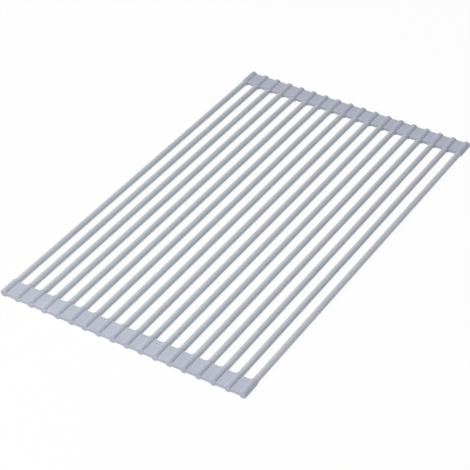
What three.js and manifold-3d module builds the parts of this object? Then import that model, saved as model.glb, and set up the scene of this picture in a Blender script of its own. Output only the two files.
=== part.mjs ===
// Roll-up dish drying rack: a row of silicone-coated steel rods, held side by side by a silicone
// strip at each end. A strip is a row of closed sockets, one for each rod, joined by flat webs.
// Each web bends along its middle, so each strip is divided there into one link for each rod, and
// the rack rolls up. The far strip mirrors the near one.
// Millimetres, +X across the rods, +Y along them, +Z up. The origin is the middle of the rack's
// footprint, on the surface that it lies on.

import * as THREE from 'three';
import { mergeVertices } from 'three/addons/utils/BufferGeometryUtils.js';
import Module from 'manifold-3d';

const wasm = await Module();
wasm.setup();

// Rack
const rodCount = 18;
const rackLength = 520;

// Rod
const rodDiameter = 7;

// Socket: closed at the rack's edge, open towards the middle
const socketWall = 0.6;
const socketEndWall = 2.5;
const socketEndRound = 1;
const socketCollar = 0.2;
const rodClearance = 0.3;
const footWidth = 2.6;

// Web between two sockets, with its top at a height above the rods' axes
const webWidth = 8.9;
const webThickness = 4.8;
const webTop = 2.1;
const webDepth = 22.9;
const webSetback = 0.4;
const webCornerRadius = 0.8;

// Hinge in the middle of a web: a round nose that turns in a hollow seat
const hingeClearance = 0.3;
const hingeLargestBend = THREE.MathUtils.degToRad(66);
const seatHalfAngle = THREE.MathUtils.degToRad(45);

// How far a cutting solid runs past what it cuts
const cutOverrun = 1;

// Sides and steps of round shapes
const roundSides = 16;
const endRoundSteps = 2;
const noseSteps = 6;
const cornerSteps = 3;

// Worked-out sizes
const rodRadius = rodDiameter / 2;
const pocketRadius = rodRadius + rodClearance;
const socketRadius = pocketRadius + socketWall;
const axisHeight = Math.sqrt(socketRadius ** 2 - (footWidth / 2) ** 2);
const rodPitch = 2 * socketRadius + webWidth;
const rodLength = rackLength - 2 * (socketEndWall + rodClearance);
const cornerRadius = Math.min(webCornerRadius, webWidth / 2);
const webInnerEdge = webSetback + webDepth;
const cornerEnd = webInnerEdge + cornerRadius;
const socketLength = cornerEnd + socketCollar;
const noseRadius = webThickness / 2;
const webMiddle = webTop - noseRadius;
const webBottom = webTop - webThickness;
const seatRadius = noseRadius + hingeClearance;
const seatTip = noseRadius * Math.tan(hingeLargestBend / 2) + hingeClearance;

// Materials: the coat of the rods and the strips are one pale blue-grey silicone
const coatMaterial = () => new THREE.MeshStandardMaterial({ color: 0xb4bac8, roughness: 0.55, metalness: 0 });
const stripMaterial = () => new THREE.MeshStandardMaterial({ color: 0xb9bfcf, roughness: 0.6, metalness: 0 });

// Closed geometry to a solid that can be joined and cut
function solidFrom(geometry) {
  const bare = geometry.clone();
  bare.deleteAttribute('normal');
  bare.deleteAttribute('uv');
  const merged = mergeVertices(bare);
  const index = merged.index.array;
  const corners = [];
  for (let i = 0; i < index.length; i += 3) {
    const [a, b, c] = index.slice(i, i + 3);
    if (a !== b && b !== c && c !== a) corners.push(a, b, c);
  }
  return new wasm.Manifold(new wasm.Mesh({
    numProp: 3,
    vertProperties: new Float32Array(merged.attributes.position.array),
    triVerts: new Uint32Array(corners),
  }));
}

// Solid back to a geometry with flat faces
function geometryFrom(solid) {
  const mesh = solid.getMesh();
  const geometry = new THREE.BufferGeometry();
  geometry.setAttribute('position', new THREE.BufferAttribute(mesh.vertProperties, 3));
  geometry.setIndex(new THREE.BufferAttribute(mesh.triVerts, 1));
  geometry.computeVertexNormals();
  return geometry;
}

// Shape drawn in X and Z, drawn out along +Y from y = 0
function extrudeAlongY(shape, length, steps) {
  const geometry = new THREE.ExtrudeGeometry(shape, {
    depth: length,
    bevelEnabled: false,
    curveSegments: steps,
  });
  geometry.rotateX(Math.PI / 2);
  geometry.translate(0, length, 0);
  return solidFrom(geometry);
}

// Shape drawn in X and Y, drawn out along Z to both sides of the plane of the rods
function extrudeAlongZ(shape, halfHeight, steps) {
  const geometry = new THREE.ExtrudeGeometry(shape, {
    depth: 2 * halfHeight,
    bevelEnabled: false,
    curveSegments: steps,
  });
  geometry.translate(0, 0, -halfHeight);
  return solidFrom(geometry);
}

// Rod: plain round bar along Y, about its own centre
function rodGeometry() {
  return new THREE.LatheGeometry([
    new THREE.Vector2(0, -rodLength / 2),
    new THREE.Vector2(rodRadius, -rodLength / 2),
    new THREE.Vector2(rodRadius, rodLength / 2),
    new THREE.Vector2(0, rodLength / 2),
  ], roundSides);
}

// Outside of a socket, from its rounded closed end at y = 0 to its mouth
function socketBody() {
  const outline = [new THREE.Vector2(0, 0)];
  for (let step = 0; step <= endRoundSteps; step += 1) {
    const angle = (Math.PI / 2) * (step / endRoundSteps);
    outline.push(new THREE.Vector2(
      socketRadius - socketEndRound * (1 - Math.sin(angle)),
      socketEndRound * (1 - Math.cos(angle)),
    ));
  }
  outline.push(new THREE.Vector2(socketRadius, socketLength));
  outline.push(new THREE.Vector2(0, socketLength));
  return solidFrom(new THREE.LatheGeometry(outline, roundSides));
}

// Blind hole that the rod sits in
function pocketCut() {
  const end = socketLength + cutOverrun;
  return solidFrom(new THREE.LatheGeometry([
    new THREE.Vector2(0, socketEndWall),
    new THREE.Vector2(pocketRadius, socketEndWall),
    new THREE.Vector2(pocketRadius, end),
    new THREE.Vector2(0, end),
  ], roundSides));
}

// Half web seen from above: straight along the rack's edge, with a round corner where its inner
// edge meets the socket
function webPlan(side) {
  const reach = rodPitch / 2 + noseRadius + cutOverrun;
  const cornerCentre = socketRadius + cornerRadius;
  const plan = new THREE.Shape();
  plan.moveTo(0, webSetback);
  plan.lineTo(reach, webSetback);
  plan.lineTo(reach, webInnerEdge);
  plan.lineTo(cornerCentre, webInnerEdge);
  plan.absarc(cornerCentre, cornerEnd, cornerRadius, -Math.PI / 2, -Math.PI, true);
  plan.lineTo(0, cornerEnd);
  plan.closePath();
  const solid = extrudeAlongZ(plan, socketRadius, cornerSteps);
  return side > 0 ? solid : solid.mirror([1, 0, 0]);
}

// Half web that ends in the hinge's nose, on the +X side
function noseHalf() {
  const profile = new THREE.Shape();
  profile.moveTo(0, webBottom);
  profile.lineTo(rodPitch / 2, webBottom);
  profile.absarc(rodPitch / 2, webMiddle, noseRadius, -Math.PI / 2, Math.PI / 2, false);
  profile.lineTo(0, webTop);
  profile.closePath();
  const slab = extrudeAlongY(profile, socketLength, noseSteps);
  return slab.intersect(webPlan(1));
}

// Half web that ends in the hinge's seat, on the -X side: its tips stand back so that the next
// link's web can fold over them
function seatHalf() {
  const hinge = -rodPitch / 2;
  const profile = new THREE.Shape();
  profile.moveTo(0, webBottom);
  profile.lineTo(0, webTop);
  profile.lineTo(hinge + seatTip, webTop);
  profile.absarc(hinge, webMiddle, seatRadius, seatHalfAngle, -seatHalfAngle, true);
  profile.lineTo(hinge + seatTip, webBottom);
  profile.closePath();
  const slab = extrudeAlongY(profile, socketLength, noseSteps);
  return slab.intersect(webPlan(-1));
}

// Cut that leaves the flat foot along the underside
function footCut() {
  const size = 2 * socketRadius + rodPitch;
  const block = new THREE.BoxGeometry(size, socketLength + 2 * cutOverrun, size);
  block.translate(0, socketLength / 2, -axisHeight - size / 2);
  return solidFrom(block);
}

// One link of the near strip: a socket with a half web on one side or on both
function linkSolid(hasSeat, hasNose) {
  let solid = socketBody();
  if (hasNose) solid = solid.add(noseHalf());
  if (hasSeat) solid = solid.add(seatHalf());
  return solid.subtract(pocketCut()).subtract(footCut());
}

// Place a named piece in the rack
function place(name, geometry, material, x, y) {
  const mesh = new THREE.Mesh(geometry, material);
  mesh.name = name;
  mesh.position.set(x, y, axisHeight);
  return mesh;
}

const rack = new THREE.Group();
const nearStrip = new THREE.Group();
const farStrip = new THREE.Group();
const rods = new THREE.Group();
rack.add(rods, nearStrip, farStrip);

for (let i = 0; i < rodCount; i += 1) {
  const label = String(i + 1).padStart(2, '0');
  const x = (i - (rodCount - 1) / 2) * rodPitch;
  const link = linkSolid(i > 0, i < rodCount - 1);
  const nearLink = geometryFrom(link);
  const farLink = geometryFrom(link.mirror([0, 1, 0]));
  rods.add(place(`rod_${label}`, rodGeometry(), coatMaterial(), x, 0));
  nearStrip.add(place(`near_link_${label}`, nearLink, stripMaterial(), x, -rackLength / 2));
  farStrip.add(place(`far_link_${label}`, farLink, stripMaterial(), x, rackLength / 2));
}

export default rack;
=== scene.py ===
"""Looks of the roll-up dish drying rack: silicone-coated rods in two moulded silicone end strips.

Lengths are in metres in the model's own frame: +X across the rods, +Y along them, +Z up.
"""

import math

import bmesh
import bpy
from mathutils import Matrix, Vector


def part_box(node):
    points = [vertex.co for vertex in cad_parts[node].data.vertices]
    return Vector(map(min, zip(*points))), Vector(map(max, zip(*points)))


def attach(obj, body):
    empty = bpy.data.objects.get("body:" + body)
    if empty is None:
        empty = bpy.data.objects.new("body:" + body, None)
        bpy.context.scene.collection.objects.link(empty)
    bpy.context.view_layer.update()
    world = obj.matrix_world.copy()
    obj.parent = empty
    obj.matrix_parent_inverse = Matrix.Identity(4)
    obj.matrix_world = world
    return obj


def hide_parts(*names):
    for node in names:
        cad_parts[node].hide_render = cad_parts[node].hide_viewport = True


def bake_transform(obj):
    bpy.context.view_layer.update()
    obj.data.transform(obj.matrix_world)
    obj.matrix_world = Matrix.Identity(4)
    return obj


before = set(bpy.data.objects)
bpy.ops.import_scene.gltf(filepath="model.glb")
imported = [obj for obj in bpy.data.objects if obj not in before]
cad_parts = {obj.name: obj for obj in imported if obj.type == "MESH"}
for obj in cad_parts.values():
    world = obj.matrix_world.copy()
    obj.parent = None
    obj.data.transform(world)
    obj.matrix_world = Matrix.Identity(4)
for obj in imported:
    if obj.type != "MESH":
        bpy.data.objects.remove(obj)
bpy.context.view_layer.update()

MM = 0.001

# Camera, at the photograph's place
CAMERA_PLACE = Vector((0.77325, -1.28265, 1.13162))
CAMERA_AZIMUTH = math.radians(31.703)
CAMERA_ELEVATION = math.radians(37.689)
CAMERA_ROLL = math.radians(0.121)
CAMERA_LENS = 125.68
CAMERA_SENSOR = 36.0
CAMERA_REACH = 50

# Rods and sockets, read from the frame
ROD_COUNT = sum(name.startswith("rod_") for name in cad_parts)
LABELS = [f"{i + 1:02d}" for i in range(ROD_COUNT)]
ROD_BOXES = [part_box(f"rod_{label}") for label in LABELS]
AXES = [(low.x + high.x) / 2 for low, high in ROD_BOXES]
PITCH = AXES[1] - AXES[0]
AXIS_HEIGHT = (ROD_BOXES[0][0].z + ROD_BOXES[0][1].z) / 2
ROD_RADIUS = (ROD_BOXES[0][1].z - ROD_BOXES[0][0].z) / 2
ROD_HALF_LENGTH = ROD_BOXES[0][1].y
SOCKET_RADIUS = AXES[0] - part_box("near_link_01")[0].x
SOCKET_END = -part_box("near_link_01")[0].y
SOCKET_MOUTH = -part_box("near_link_01")[1].y

# Rod: softly rounded ends inside its sockets
ROD_END_RADIUS = 0.3 * MM

# Socket: domed end, softly tapered mouth, and a bore that is snug round the rod
DOME_RADIUS = 1.0 * MM
DOME_CROWN = 0.15 * MM
CROWN_SHARES = (0.3, 0.6, 0.85)
MOUTH_TAPER_LENGTH = 2.4 * MM
MOUTH_TAPER_DEPTH = 0.7 * MM
LIP_RADIUS = 0.2 * MM
BORE_CLEARANCE = 0.02 * MM
FOOT_HALF_WIDTH = math.sqrt(SOCKET_RADIUS**2 - AXIS_HEIGHT**2)

# Web between two sockets: its top and bottom are distances from the rods' axes, its setback and
# inner edge distances from the strip's end
WEB_TOP = 2.1 * MM
WEB_BOTTOM = 2.7 * MM
WEB_SETBACK = 0.4 * MM
WEB_INNER_EDGE = 23.3 * MM
WEB_CORNER_RADIUS = 0.8 * MM
WEB_TOP_EDGE_RADIUS = 0.7 * MM
WEB_BOTTOM_EDGE_RADIUS = 1.2 * MM
WEB_FILLET = 0.3 * MM
WEB_TAIL = 0.5 * MM

# Steps of round shapes
ROD_SIDES = 48
ROD_STATIONS = 40
SOCKET_SIDES = 60
FOOT_STEPS = 4
DOME_STEPS = 10
MOUTH_STEPS = 10
LIP_STEPS = 5
FLANK_STEPS = 12
WEB_FLAT_STEPS = 8
WEB_CORNER_STEPS = 12
WEB_EDGE_STEPS = 6
WEB_DEPTH_STEPS = 10
SMOOTH_ANGLE = math.radians(40)

# Silicone: screen colours, and noise in features a metre
STRIP_COLOUR = (187, 192, 206)
ROD_COLOUR = (193, 198, 207)
SILICONE_IOR = 1.41
COAT_ROUGHNESS = 0.3
CLOUD_SCALE = 28
CLOUD_DETAIL = 4
CLOUD_DARK_SHARE = 0.3
CLOUD_LIGHT_SHARE = 0.7
DARK_TINT_SHARE = 0.955
LIGHT_TINT_SHARE = 1.03
GRAIN_DETAIL = 3
GRAIN_STRENGTH = 0.35
SMOOTHER_BY = 0.06
ROUGHER_BY = 0.08

# Floor
FLOOR_HALF_SIDE = 4.0
FLOOR_DROP = 0.02 * MM
FLOOR_COLOUR = (0.93, 0.93, 0.93, 1)
FLOOR_SHADOW_SHARE = 0.06
FLOOR_FILL = 0.15

# Lights
WHITE = (1, 1, 1, 1)
WORLD_LIGHT = 0.35
KEY_PLACE = Vector((-0.22, -0.50, 0.90))
KEY_AIM = Vector((0.0, -0.20, 0.0))
KEY_SIDE = 0.9
KEY_POWER = 5.1
SIDE_DIRECTION = Vector((-0.60, -0.10, 0.79)).normalized()
SIDE_STRENGTH = 0.78
SIDE_SOFTNESS = math.radians(50)


def quarter_turn(steps):
    """Angles from 0 to a right angle, in equal steps."""
    return [math.pi / 2 * i / steps for i in range(steps + 1)]


def object_from_rings(name, rings, material):
    """A closed mesh through rings of points, with a fan over the first and over the last."""
    mesh = bpy.data.meshes.new(name)
    bm = bmesh.new()
    made = [[bm.verts.new(point) for point in ring] for ring in rings]
    for lower, upper in zip(made, made[1:]):
        for i in range(len(lower)):
            j = (i + 1) % len(lower)
            bm.faces.new((lower[i], lower[j], upper[j], upper[i]))
    for ring, order in ((made[0], -1), (made[-1], 1)):
        middle = bm.verts.new(sum((v.co for v in ring), Vector()) / len(ring))
        for i in range(len(ring)):
            j = (i + 1) % len(ring)
            bm.faces.new((ring[i], ring[j], middle)[::order])
    bmesh.ops.recalc_face_normals(bm, faces=bm.faces)
    bm.to_mesh(mesh)
    bm.free()
    for polygon in mesh.polygons:
        polygon.use_smooth = True
    mesh.set_sharp_from_angle(angle=SMOOTH_ANGLE)
    mesh.materials.append(material)
    obj = bpy.data.objects.new(name, mesh)
    bpy.context.scene.collection.objects.link(obj)
    return obj


# Materials

def linear_colour(screen_colour):
    """An 8-bit screen colour as a linear one."""
    def linear(value):
        share = value / 255
        return share / 12.92 if share <= 0.04045 else ((share + 0.055) / 1.055) ** 2.4
    return [linear(value) for value in screen_colour]


def silicone(name, screen_colour, roughness, coat, grain_scale, grain_height):
    """Moulded silicone: faint cloudy tint, fine grain, uneven sheen and a satin skin."""
    material = bpy.data.materials.new(name)
    material.use_nodes = True
    nodes, links = material.node_tree.nodes, material.node_tree.links
    shader = nodes["Principled BSDF"]
    shader.inputs["IOR"].default_value = SILICONE_IOR
    shader.inputs["Coat Weight"].default_value = coat
    shader.inputs["Coat Roughness"].default_value = COAT_ROUGHNESS
    shader.inputs["Coat IOR"].default_value = SILICONE_IOR
    place = nodes.new("ShaderNodeTexCoord")

    colour = linear_colour(screen_colour)
    cloud = nodes.new("ShaderNodeTexNoise")
    cloud.inputs["Scale"].default_value = CLOUD_SCALE
    cloud.inputs["Detail"].default_value = CLOUD_DETAIL
    links.new(place.outputs["Object"], cloud.inputs["Vector"])
    tint = nodes.new("ShaderNodeValToRGB")
    dark, light = tint.color_ramp.elements
    dark.position = CLOUD_DARK_SHARE
    dark.color = [value * DARK_TINT_SHARE for value in colour] + [1]
    light.position = CLOUD_LIGHT_SHARE
    light.color = [value * LIGHT_TINT_SHARE for value in colour] + [1]
    links.new(cloud.outputs["Fac"], tint.inputs["Fac"])
    links.new(tint.outputs["Color"], shader.inputs["Base Color"])

    grain = nodes.new("ShaderNodeTexNoise")
    grain.inputs["Scale"].default_value = grain_scale
    grain.inputs["Detail"].default_value = GRAIN_DETAIL
    links.new(place.outputs["Object"], grain.inputs["Vector"])
    bump = nodes.new("ShaderNodeBump")
    bump.inputs["Strength"].default_value = GRAIN_STRENGTH
    bump.inputs["Distance"].default_value = grain_height
    links.new(grain.outputs["Fac"], bump.inputs["Height"])
    links.new(bump.outputs["Normal"], shader.inputs["Normal"])

    sheen = nodes.new("ShaderNodeMapRange")
    sheen.inputs["To Min"].default_value = roughness - SMOOTHER_BY
    sheen.inputs["To Max"].default_value = roughness + ROUGHER_BY
    links.new(grain.outputs["Fac"], sheen.inputs["Value"])
    links.new(sheen.outputs["Result"], shader.inputs["Roughness"])
    return material


def seen_share(nodes, links):
    """1 for rays from the camera, a glossy surface or a clear one, and 0 for light that spreads."""
    def either(first, second):
        larger = nodes.new("ShaderNodeMath")
        larger.operation = "MAXIMUM"
        links.new(first, larger.inputs[0])
        links.new(second, larger.inputs[1])
        return larger.outputs[0]

    path = nodes.new("ShaderNodeLightPath")
    mirrored = either(path.outputs["Is Glossy Ray"], path.outputs["Is Transmission Ray"])
    return either(path.outputs["Is Camera Ray"], mirrored)


def floor_material():
    """Seen as white but for a faint shadow. Spread light finds pale paper with a glow of its own."""
    material = bpy.data.materials.new("floor")
    material.use_nodes = True
    nodes, links = material.node_tree.nodes, material.node_tree.links
    nodes.remove(nodes["Principled BSDF"])

    paper = nodes.new("ShaderNodeBsdfDiffuse")
    paper.inputs["Color"].default_value = FLOOR_COLOUR
    white = nodes.new("ShaderNodeEmission")
    white.inputs["Strength"].default_value = 1
    shown = nodes.new("ShaderNodeMixShader")
    shown.inputs[0].default_value = FLOOR_SHADOW_SHARE
    links.new(white.outputs[0], shown.inputs[1])
    links.new(paper.outputs[0], shown.inputs[2])

    fill = nodes.new("ShaderNodeEmission")
    fill.inputs["Strength"].default_value = FLOOR_FILL
    lit = nodes.new("ShaderNodeAddShader")
    links.new(paper.outputs[0], lit.inputs[0])
    links.new(fill.outputs[0], lit.inputs[1])

    whole = nodes.new("ShaderNodeMixShader")
    links.new(seen_share(nodes, links), whole.inputs[0])
    links.new(lit.outputs[0], whole.inputs[1])
    links.new(shown.outputs[0], whole.inputs[2])
    links.new(whole.outputs[0], nodes["Material Output"].inputs["Surface"])
    return material


strip_material = silicone(
    "strip_silicone", STRIP_COLOUR, roughness=0.62, coat=0.0, grain_scale=2600, grain_height=0.03 * MM)
rod_material = silicone(
    "rod_silicone", ROD_COLOUR, roughness=0.4, coat=0.6, grain_scale=2200, grain_height=0.02 * MM)


# Rods

def rod_piece(label, axis_x):
    """One coated rod."""
    def ring(y, radius):
        points = []
        for i in range(ROD_SIDES):
            angle = math.tau * i / ROD_SIDES
            points.append((
                axis_x + radius * math.cos(angle), y, AXIS_HEIGHT + radius * math.sin(angle)))
        return points

    end = []
    for angle in quarter_turn(DOME_STEPS):
        inset = ROD_END_RADIUS * (1 - math.cos(angle))
        end.append((inset, ROD_RADIUS - ROD_END_RADIUS * (1 - math.sin(angle))))
    straight = ROD_HALF_LENGTH - ROD_END_RADIUS
    rings = [ring(-ROD_HALF_LENGTH + inset, radius) for inset, radius in end]
    for i in range(1, ROD_STATIONS):
        rings.append(ring(-straight + 2 * straight * i / ROD_STATIONS, ROD_RADIUS))
    rings += [ring(ROD_HALF_LENGTH - inset, radius) for inset, radius in reversed(end)]
    return object_from_rings(f"coated_rod_{label}", rings, rod_material)


# End strips

def socket_angles():
    """Angles round a socket's section, from one side of its flat foot over the top to the other,
    then across the foot."""
    corner = math.atan2(-AXIS_HEIGHT, FOOT_HALF_WIDTH)
    sweep = math.tau - 2 * (math.pi / 2 + corner)
    arc = [corner + sweep * i / SOCKET_SIDES for i in range(SOCKET_SIDES + 1)]
    foot = [arc[-1] + (math.tau - sweep) * i / FOOT_STEPS for i in range(1, FOOT_STEPS)]
    return arc + foot


def socket_profile():
    """(distance from the closed end, radius) from the end's middle to the bottom of the bore."""
    length = SOCKET_END - SOCKET_MOUTH
    bore = ROD_RADIUS + BORE_CLEARANCE
    flat = SOCKET_RADIUS - DOME_RADIUS
    straight = length - DOME_RADIUS - MOUTH_TAPER_LENGTH
    profile = [(DOME_CROWN * share**2, flat * share) for share in CROWN_SHARES]
    for angle in quarter_turn(DOME_STEPS):
        crown = DOME_CROWN * math.cos(angle)
        profile.append((
            crown + DOME_RADIUS * (1 - math.cos(angle)), flat + DOME_RADIUS * math.sin(angle)))
    for i in range(1, FLANK_STEPS):
        profile.append((DOME_RADIUS + straight * i / FLANK_STEPS, SOCKET_RADIUS))
    for angle in quarter_turn(MOUTH_STEPS):
        profile.append((
            length - MOUTH_TAPER_LENGTH * (1 - math.sin(angle)),
            SOCKET_RADIUS - MOUTH_TAPER_DEPTH * (1 - math.cos(angle))))
    for angle in quarter_turn(LIP_STEPS):
        profile.append((
            length - LIP_RADIUS * (1 - math.cos(angle)),
            bore + LIP_RADIUS * (1 - math.sin(angle))))
    profile.append((SOCKET_END - ROD_HALF_LENGTH, bore))
    return profile


def socket_piece(side, label, axis_x):
    """One socket: a round cup with a flat foot, closed at the rack's edge."""
    direction = -1 if side == "near" else 1
    rings = []
    for inset, radius in socket_profile():
        y = direction * (SOCKET_END - inset)
        ring = []
        for angle in socket_angles():
            height = max(radius * math.sin(angle), -AXIS_HEIGHT)
            ring.append((axis_x + radius * math.cos(angle), y, AXIS_HEIGHT + height))
        rings.append(ring)
    return object_from_rings(f"{side}_socket_{label}", rings, strip_material)


def web_height(to_axis, level):
    """The height of a web's top or bottom at a distance from a socket's axis: level, then a fillet
    that meets the socket's surface, then level again inside the socket."""
    middle_z = level + WEB_FILLET
    middle_x = math.sqrt((SOCKET_RADIUS + WEB_FILLET) ** 2 - middle_z**2)
    touch_x = middle_x * SOCKET_RADIUS / (SOCKET_RADIUS + WEB_FILLET)
    along = min(max(middle_x - to_axis, 0.0), middle_x - touch_x)
    return middle_z - math.sqrt(WEB_FILLET**2 - along**2)


def web_sections():
    """(start, turn, tail) of each section of half a web, from its middle to inside the socket.

    A section starts on the inner corner's centre, or nearer the web's middle than that, follows
    the corner's radius at an angle of turn, and is pushed on towards the socket by tail.
    """
    flat = PITCH / 2 - SOCKET_RADIUS - WEB_CORNER_RADIUS
    sections = [(flat * i / WEB_FLAT_STEPS, 0.0, 0.0) for i in range(WEB_FLAT_STEPS)]
    sections += [(flat, angle, 0.0) for angle in quarter_turn(WEB_CORNER_STEPS)]
    sections.append((flat, math.pi / 2, WEB_TAIL))
    return sections


def web_half_ring(start, turn, tail, level, edge_radius):
    """The top or bottom half of a section, from its outer edge to its inner edge, as (distance
    from the web's middle, distance from the strip's end, height from the rods' axes)."""
    corner_y = WEB_INNER_EDGE + WEB_CORNER_RADIUS
    flat_out = start + (WEB_CORNER_RADIUS + edge_radius) * math.sin(turn) + tail
    height = web_height(PITCH / 2 - flat_out, level)

    def outer(inset, z):
        return (flat_out, WEB_SETBACK + inset, z)

    def inner(inset, z):
        reach = WEB_CORNER_RADIUS + inset
        return (start + reach * math.sin(turn) + tail, corner_y - reach * math.cos(turn), z)

    def rounded(edge):
        points = []
        for angle in quarter_turn(WEB_EDGE_STEPS):
            inset = edge_radius * (1 - math.cos(angle))
            points.append(edge(inset, height - edge_radius * (1 - math.sin(angle))))
        return points

    outer_points, inner_points = rounded(outer), rounded(inner)
    low_y, high_y = outer_points[-1][1], inner_points[-1][1]
    level_points = []
    for i in range(1, WEB_DEPTH_STEPS):
        level_points.append((flat_out, low_y + (high_y - low_y) * i / WEB_DEPTH_STEPS, height))
    return outer_points + level_points + inner_points[::-1]


def web_ring(direction, middle_x, side, section):
    """One closed section of a web, out from its middle on one side (-1 or +1)."""
    top = web_half_ring(*section, WEB_TOP, WEB_TOP_EDGE_RADIUS)
    bottom = web_half_ring(*section, WEB_BOTTOM, WEB_BOTTOM_EDGE_RADIUS)
    ring = []
    for out, y, z in top + [(out, y, -z) for out, y, z in reversed(bottom)]:
        ring.append((middle_x + side * out, direction * (SOCKET_END - y), AXIS_HEIGHT + z))
    return ring


def web_piece(side, label, middle_x):
    """The flexible web between two sockets, with a rounded inner corner at each of them."""
    direction = -1 if side == "near" else 1
    sections = web_sections()
    rings = [web_ring(direction, middle_x, -1, section) for section in reversed(sections[1:])]
    rings += [web_ring(direction, middle_x, 1, section) for section in sections]
    return object_from_rings(f"{side}_web_{label}", rings, strip_material)


for index, label in enumerate(LABELS):
    body = f"bar_{label}"
    rod = rod_piece(label, AXES[index])
    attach(rod, body)
    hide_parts(f"rod_{label}")
    for side in ("near", "far"):
        socket = socket_piece(side, label, AXES[index])
        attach(socket, body)
        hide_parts(f"{side}_link_{label}")
        if index + 1 < ROD_COUNT:
            after = LABELS[index + 1]
            web = web_piece(side, label, (AXES[index] + AXES[index + 1]) / 2)
            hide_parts(f"{side}_link_{label}", f"{side}_link_{after}")
            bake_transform(web)


# Floor, lights and camera

def make_floor():
    """A wide floor just under the rack's feet."""
    mesh = bpy.data.meshes.new("floor")
    side = FLOOR_HALF_SIDE
    corners = [(-side, -side), (side, -side), (side, side), (-side, side)]
    mesh.from_pydata([(x, y, -FLOOR_DROP) for x, y in corners], [], [(0, 1, 2, 3)])
    mesh.materials.append(floor_material())
    floor = bpy.data.objects.new("floor", mesh)
    bpy.context.scene.collection.objects.link(floor)


def make_world():
    """Even soft light, seen as white by the camera and in reflections."""
    world = bpy.data.worlds.new("studio")
    bpy.context.scene.world = world
    world.use_nodes = True
    nodes, links = world.node_tree.nodes, world.node_tree.links
    light = nodes["Background"]
    light.inputs["Color"].default_value = WHITE
    light.inputs["Strength"].default_value = WORLD_LIGHT
    white = nodes.new("ShaderNodeBackground")
    white.inputs["Color"].default_value = WHITE
    white.inputs["Strength"].default_value = 1
    mix = nodes.new("ShaderNodeMixShader")
    links.new(seen_share(nodes, links), mix.inputs[0])
    links.new(light.outputs[0], mix.inputs[1])
    links.new(white.outputs[0], mix.inputs[2])
    links.new(mix.outputs[0], nodes["World Output"].inputs["Surface"])


def add_lamp(name, data, direction):
    """A lamp that shines along a direction."""
    lamp = bpy.data.objects.new(name, data)
    lamp.rotation_mode = "QUATERNION"
    lamp.rotation_quaternion = direction.to_track_quat("-Z", "Y")
    bpy.context.scene.collection.objects.link(lamp)
    return lamp


def make_key():
    """One large soft lamp, above the near strip and a little in front of it."""
    data = bpy.data.lights.new("key", "AREA")
    data.shape = "SQUARE"
    data.size = KEY_SIDE
    data.energy = KEY_POWER
    add_lamp("key", data, KEY_AIM - KEY_PLACE).location = KEY_PLACE


def make_side_light():
    """A weaker, even light from the left."""
    data = bpy.data.lights.new("side", "SUN")
    data.energy = SIDE_STRENGTH
    data.angle = SIDE_SOFTNESS
    add_lamp("side", data, -SIDE_DIRECTION)


def make_camera():
    """The camera, turned by its azimuth, elevation and roll."""
    data = bpy.data.cameras.new("camera")
    data.sensor_width = CAMERA_SENSOR
    data.lens = CAMERA_LENS
    data.clip_end = CAMERA_REACH
    camera = bpy.data.objects.new("camera", data)
    azimuth = Matrix.Rotation(CAMERA_AZIMUTH, 4, "Z")
    elevation = Matrix.Rotation(math.pi / 2 - CAMERA_ELEVATION, 4, "X")
    roll = Matrix.Rotation(CAMERA_ROLL, 4, "Z")
    camera.matrix_world = Matrix.Translation(CAMERA_PLACE) @ azimuth @ elevation @ roll
    bpy.context.scene.collection.objects.link(camera)
    bpy.context.scene.camera = camera


make_floor()
make_world()
make_key()
make_side_light()
make_camera()
bpy.context.scene.view_settings.view_transform = "Standard"
